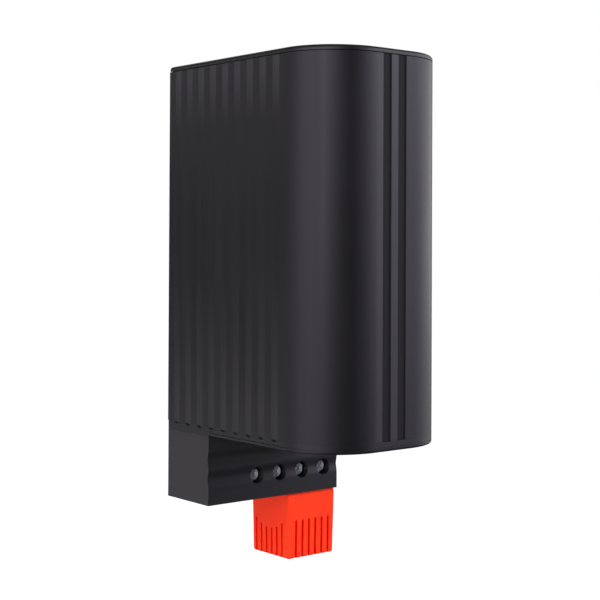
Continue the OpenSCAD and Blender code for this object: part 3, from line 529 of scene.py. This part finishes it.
def bake_shape(obj, node):
    """Makes an object's mesh plain, marks the faces of its rounded edges and gives it one material."""
    mesh = plain_mesh(obj)
    edge = mesh.attributes.new("edge", "FLOAT", "FACE")
    edge.data.foreach_set("value", [1.0 if face.material_index == 1 else 0.0 for face in mesh.polygons])
    mesh.materials.clear()
    mesh.materials.append(FINISH[SLOT_OF[node]])
    mesh.polygons.foreach_set("material_index", [0] * len(mesh.polygons))
    return obj


def round_edges(obj, node, width, angle, steps):
    mesh = obj.data
    mesh.materials.clear()
    for _ in range(2):
        mesh.materials.append(FINISH[SLOT_OF[node]])
    mesh.shade_smooth()
    bevel = obj.modifiers.new("edges", "BEVEL")
    bevel.width = width * MM
    bevel.segments = steps
    bevel.limit_method = "ANGLE"
    bevel.angle_limit = math.radians(angle)
    bevel.use_clamp_overlap = True
    bevel.harden_normals = True
    bevel.material = 1
    flat = obj.modifiers.new("flat_faces", "WEIGHTED_NORMAL")
    flat.mode = "FACE_AREA"
    flat.weight = 80


def softened(node, name, width, angle=28, steps=2, reshape=None):
    """The CAD node's own shape, with its sharp edges rounded over as a moulding or extrusion has them."""
    shape = bmesh.new()
    shape.from_mesh(NODES[node].data)
    bmesh.ops.remove_doubles(shape, verts=shape.verts, dist=MERGE_DISTANCE)
    if reshape:
        reshape(shape)
    bmesh.ops.dissolve_limit(shape, angle_limit=math.radians(0.6), verts=shape.verts, edges=shape.edges)
    mesh = bpy.data.meshes.new(name)
    shape.to_mesh(mesh)
    shape.free()
    obj = bpy.data.objects.new(name, mesh)
    bpy.context.scene.collection.objects.link(obj)
    round_edges(obj, node, width, angle, steps)
    return as_piece(bake_shape(obj, node), node)


# Screws, built by a node tree and set on the places of the CAD screws

def screw_tree():
    """Screw with a domed head, a cross recess and a helical thread, one on each point it is given."""
    tree = bpy.data.node_groups.new("screw_set", "GeometryNodeTree")
    tree.interface.new_socket("Places", in_out="INPUT", socket_type="NodeSocketGeometry")
    for label in ("Head Diameter", "Head Height", "Dome", "Shank Diameter", "Shank Length", "Thread Pitch",
                  "Thread Depth", "Recess Length", "Recess Width", "Recess Depth", "Recess Turn"):
        tree.interface.new_socket(label, in_out="INPUT", socket_type="NodeSocketFloat")
    tree.interface.new_socket("Tilt", in_out="INPUT", socket_type="NodeSocketVector")
    tree.interface.new_socket("Finish", in_out="INPUT", socket_type="NodeSocketMaterial")
    tree.interface.new_socket("Screws", in_out="OUTPUT", socket_type="NodeSocketGeometry")
    given = new_node(tree, "NodeGroupInput").outputs
    result = new_node(tree, "NodeGroupOutput").inputs

    def half(value):
        return sum_up(tree, "MULTIPLY", value, 0.5)

    def vector(x, y, z):
        node = new_node(tree, "ShaderNodeCombineXYZ")
        for socket, value in zip(node.inputs, (x, y, z)):
            feed(tree, value, socket)
        return node.outputs[0]

    def shaft(diameter, length, around, along):
        node = new_node(tree, "GeometryNodeMeshCylinder")
        node.inputs["Vertices"].default_value = around
        node.inputs["Side Segments"].default_value = along
        feed(tree, half(diameter), node.inputs["Radius"])
        feed(tree, length, node.inputs["Depth"])
        return node.outputs["Mesh"]

    def moved(shape, offset=None, turn=None):
        node = new_node(tree, "GeometryNodeTransform")
        feed(tree, shape, node.inputs["Geometry"])
        if offset is not None:
            feed(tree, offset, node.inputs["Translation"])
        if turn is not None:
            feed(tree, turn, node.inputs["Rotation"])
        return node.outputs[0]

    def turned_to(angles):
        node = new_node(tree, "FunctionNodeEulerToRotation")
        feed(tree, angles, node.inputs[0])
        return node.outputs[0]

    def swelled(shape, factor):
        """Scales each point of a shaft away from its axis."""
        spot = new_node(tree, "GeometryNodeInputPosition").outputs[0]
        grown = new_node(tree, "ShaderNodeVectorMath", operation="MULTIPLY")
        feed(tree, spot, grown.inputs[0])
        feed(tree, vector(factor, factor, 1.0), grown.inputs[1])
        node = new_node(tree, "GeometryNodeSetPosition")
        feed(tree, shape, node.inputs["Geometry"])
        feed(tree, grown.outputs[0], node.inputs["Position"])
        return node.outputs[0]

    axes = new_node(tree, "ShaderNodeSeparateXYZ")
    feed(tree, new_node(tree, "GeometryNodeInputPosition").outputs[0], axes.inputs[0])
    rise = sum_up(tree, "ADD", sum_up(tree, "DIVIDE", axes.outputs[2], given["Head Height"]), 0.5)
    bulge = sum_up(tree, "MULTIPLY", sum_up(tree, "POWER", rise, 3.0), given["Dome"])
    blank = shaft(given["Head Diameter"], given["Head Height"], around=40, along=8)
    head = swelled(blank, sum_up(tree, "SUBTRACT", 1.0, bulge))
    head = moved(head, vector(0.0, 0.0, half(given["Head Height"])))

    cutter = new_node(tree, "GeometryNodeJoinGeometry")
    deep = sum_up(tree, "MULTIPLY", given["Recess Depth"], 2.0)
    for quarter in (0.0, math.pi / 2):
        blade = new_node(tree, "GeometryNodeMeshCube")
        feed(tree, vector(given["Recess Length"], given["Recess Width"], deep), blade.inputs["Size"])
        angle = sum_up(tree, "ADD", given["Recess Turn"], quarter)
        top = vector(0.0, 0.0, given["Head Height"])
        turned = moved(blade.outputs["Mesh"], top, turned_to(vector(0.0, 0.0, angle)))
        tree.links.new(turned, cutter.inputs[0])
    carved = new_node(tree, "GeometryNodeMeshBoolean", operation="DIFFERENCE", solver="EXACT")
    feed(tree, head, carved.inputs["Mesh 1"])
    feed(tree, cutter.outputs[0], carved.inputs["Mesh 2"])
    carved.inputs["Self Intersection"].default_value = True

    angle = sum_up(tree, "ARCTAN2", axes.outputs[1], axes.outputs[0])
    turns = sum_up(tree, "DIVIDE", axes.outputs[2], given["Thread Pitch"])
    climb = sum_up(tree, "MULTIPLY", turns, 2 * math.pi)
    wave = sum_up(tree, "COSINE", sum_up(tree, "SUBTRACT", climb, angle), 0.0)
    depth = sum_up(tree, "MULTIPLY", sum_up(tree, "SUBTRACT", 1.0, wave), half(given["Thread Depth"]))
    rod = shaft(given["Shank Diameter"], given["Shank Length"], around=20, along=60)
    shank = swelled(rod, sum_up(tree, "SUBTRACT", 1.0, depth))
    shank = moved(shank, vector(0.0, 0.0, sum_up(tree, "MULTIPLY", given["Shank Length"], -0.5)))

    screw = new_node(tree, "GeometryNodeJoinGeometry")
    tree.links.new(carved.outputs["Mesh"], screw.inputs[0])
    tree.links.new(shank, screw.inputs[0])
    on_places = new_node(tree, "GeometryNodeInstanceOnPoints")
    feed(tree, given["Places"], on_places.inputs["Points"])
    feed(tree, screw.outputs[0], on_places.inputs["Instance"])
    feed(tree, turned_to(given["Tilt"]), on_places.inputs["Rotation"])
    plain = new_node(tree, "GeometryNodeRealizeInstances")
    feed(tree, on_places.outputs[0], plain.inputs[0])
    finish = new_node(tree, "GeometryNodeSetMaterial")
    feed(tree, plain.outputs[0], finish.inputs["Geometry"])
    feed(tree, given["Finish"], finish.inputs["Material"])
    feed(tree, finish.outputs[0], result["Screws"])
    return tree


SCREWS = screw_tree()
TILT = {"+Z": (0, 0, 0), "-Z": (math.pi, 0, 0), "-Y": (math.pi / 2, 0, 0), "+Y": (-math.pi / 2, 0, 0)}


def islands(node):
    """Boxes of the separate solids in a CAD node."""
    shape = bmesh.new()
    shape.from_mesh(NODES[node].data)
    bmesh.ops.remove_doubles(shape, verts=shape.verts, dist=MERGE_DISTANCE)
    left = set(shape.verts)
    boxes = []
    while left:
        front = [left.pop()]
        found = []
        while front:
            vert = front.pop()
            found.append(vert.co.copy())
            for edge in vert.link_edges:
                other = edge.other_vert(vert)
                if other in left:
                    left.remove(other)
                    front.append(other)
        boxes.append([[pick(co[axis] for co in found) for axis in range(3)] for pick in (min, max)])
    shape.free()
    return boxes


def set_screws(node, name, outward, **sizes):
    """Puts the node tree's screws where the CAD has its plain ones, heads facing outwards."""
    axis = "XYZ".index(outward[1])
    head = sizes["head_height"] * MM
    places = []
    for low, high in islands(node):
        spot = [(a + b) / 2 for a, b in zip(low, high)]
        spot[axis] = high[axis] - head if outward[0] == "+" else low[axis] + head
        places.append(spot)
        length = (high[axis] - low[axis] - head) / MM
    mesh = bpy.data.meshes.new(name)
    mesh.from_pydata(places, [], [])
    obj = bpy.data.objects.new(name, mesh)
    bpy.context.scene.collection.objects.link(obj)
    maker = obj.modifiers.new("screws", "NODES")
    maker.node_group = SCREWS
    plain = {"dome", "thread_depth", "recess_turn"}
    values = dict(sizes, shank_length=length)
    socket_of = {item.name: item.identifier for item in SCREWS.interface.items_tree if item.in_out == "INPUT"}
    for key, value in values.items():
        maker[socket_of[key.replace("_", " ").title()]] = float(value if key in plain else value * MM)
    maker[socket_of["Tilt"]] = TILT[outward]
    maker[socket_of["Finish"]] = FINISH[SLOT_OF[node]]
    built = plain_mesh(obj)
    built.shade_smooth()
    built.set_sharp_from_angle(angle=math.radians(35))
    return as_piece(obj, node)


def within(value, ends):
    return ends[0] < value < ends[1]


def mark_faces(piece, name, chosen):
    mark = piece.data.attributes.new(name, "FLOAT", "FACE")
    mark.data.foreach_set("value", [float(chosen(face)) for face in piece.data.polygons])


def flatten_flutes(shape):
    """The side flutes have a nearly flat floor."""
    side = max(vert.co.x for vert in shape.verts)
    for vert in shape.verts:
        if FLUTE_FLOOR < side - abs(vert.co.x) < FLUTE_DEPTHS[1] and vert.co.y > FLUTES_END:
            vert.co.x = math.copysign(side - FLUTE_FLOOR, vert.co.x)


def mark_casing(casing):
    """Marks the finely scored floors of the two grooves in the front, and the floors of the side flutes."""
    front = min(vert.co.y for vert in casing.data.vertices)
    side = max(vert.co.x for vert in casing.data.vertices)
    mark_faces(casing, "groove", lambda face: abs(face.center.x) < GROOVE_REACH and face.normal.y < -FACING
               and within(face.center.y - front, GROOVE_DEPTHS))
    mark_faces(casing, "flute", lambda face: within(side - abs(face.center.x), FLUTE_DEPTHS)
               and abs(face.normal.x) > FACING and face.center.y > FLUTES_END)


def mark_slots(cap):
    """Painted shade: the walls of the slots are painted a deeper red, standing in for the shade inside them.
    """
    spots = [vert.co for vert in cap.data.vertices]
    low, high = ([pick(spot[axis] for spot in spots) for axis in range(3)] for pick in (min, max))
    mark_faces(cap, "slot", lambda face: face.center.z - low[2] > SLOT_RISE and all(
        within(face.center[axis], (low[axis] + SLOT_INSET, high[axis] - SLOT_INSET)) for axis in (0, 1)))


def mark_notches(base):
    """Painted light: the notches below the flutes are painted paler, to lift the shade that falls in them."""
    mark_faces(base, "painted_notch_light", lambda face: within(abs(face.center.x), NOTCH_X)
               and face.center.y > FLUTES_END and within(face.center.z, NOTCH_Z))


def finish_cad_nodes():
    for node, obj in NODES.items():
        if obj.hide_render:
            continue
        obj.data.materials.clear()
        obj.data.materials.append(FINISH[SLOT_OF[node]])


def lay_floor():
    """Pale paper, white where the camera sees it and dim in the heater's reflections."""
    shape = bmesh.new()
    bmesh.ops.create_grid(shape, x_segments=8, y_segments=8, size=12.0)
    mesh = bpy.data.meshes.new("floor")
    shape.to_mesh(mesh)
    shape.free()
    mesh.transform(Matrix.Translation((0, 0, FLOOR_Z)))
    floor = bpy.data.objects.new("floor", mesh)
    material, tree, shader, where = start_material("studio_paper")
    fibre = noise(tree, where, 40.0, 3.0)
    paper = blend_colours(tree, fibre, (0.86, 0.86, 0.86, 1.0), (0.9, 0.9, 0.9, 1.0))
    feed(tree, paper, shader.inputs["Base Color"])
    shader.inputs["Roughness"].default_value = 0.9
    shader.inputs["Emission Color"].default_value = (1.0, 1.0, 1.0, 1.0)
    shader.inputs["Emission Strength"].default_value = 1.0
    dim = new_node(tree, "ShaderNodeBsdfDiffuse")
    dim.inputs["Color"].default_value = (0.12, 0.12, 0.12, 1.0)
    seen = new_node(tree, "ShaderNodeLightPath").outputs["Is Camera Ray"]
    either = new_node(tree, "ShaderNodeMixShader")
    feed(tree, seen, either.inputs[0])
    feed(tree, dim.outputs[0], either.inputs[1])
    feed(tree, shader.outputs[0], either.inputs[2])
    feed(tree, either.outputs[0], tree.nodes["Material Output"].inputs["Surface"])
    mesh.materials.append(material)
    bpy.context.scene.collection.objects.link(floor)


def set_world():
    """White to the eye, and dimmer as a light, so that the softboxes shape the black plastic."""
    scene = bpy.context.scene
    world = bpy.data.worlds.new("studio")
    world.use_nodes = True
    scene.world = world
    tree = world.node_tree
    back = tree.nodes["Background"]
    seen = new_node(tree, "ShaderNodeLightPath").outputs["Is Camera Ray"]
    feed(tree, spread(tree, seen, 0.0, 1.0, 0.02, 1.0), back.inputs["Strength"])
    feed(tree, blend_colours(tree, seen, (1.0, 0.97, 1.18, 1.0), (1.0, 1.0, 1.0, 1.0)), back.inputs["Color"])
    scene.view_settings.view_transform = "Standard"
    scene.view_settings.look = "None"


place_camera()
lay_floor()
set_world()
light_studio()

mark_casing(softened("casing", "casing_shell", 0.18, reshape=flatten_flutes))
softened("top_cover", "outlet_cover", 0.15)
mark_notches(softened("base", "inlet_base", 0.18))
box = softened("terminal_housing", "terminal_box", 0.22)
flagged_lamp("housing_lamp", [box], HOUSING_LEFT, azimuth=-125, rise=-0.16, size=0.4, glow=1.7)
softened("rail_clip", "clip_strip", 0.12)
plug = [softened("plug_cap", "plug_shell", 0.12), softened("plug_carrier", "plug_insert", 0.12)]
mark_slots(plug[0])
for side, azimuth, glow in (("front", 12, 4.8), ("corner", -40, 4.0), ("left", -105, 2.0)):
    flagged_lamp(f"plug_{side}_lamp", plug, PLUG_MIDDLE, azimuth, rise=-0.14, size=0.4, glow=glow)
tapping = dict(head_diameter=5.2, head_height=1.2, dome=0.32, shank_diameter=2.9, thread_pitch=1.1,
               thread_depth=0.16, recess_length=3.1, recess_width=0.7, recess_depth=0.6, recess_turn=0.0)
for place, outward in (("cover", "+Z"), ("base", "-Z"), ("housing", "-Z"), ("clip", "+Y")):
    set_screws(f"{place}_screws", f"{place}_fixings", outward, **tapping)
clamp_screws = set_screws(
    "terminal_screws", "clamp_screws", "-Y", head_diameter=5.6, head_height=1.6, dome=0.2, shank_diameter=3.4,
    thread_pitch=0.7, thread_depth=0.1, recess_length=2.8, recess_width=0.6, recess_depth=0.3,
    recess_turn=math.pi / 4)
flagged_lamp("screw_lamp", [clamp_screws], SCREWS_MIDDLE, azimuth=-60, rise=0.06, size=0.15, glow=150)
finish_cad_nodes()
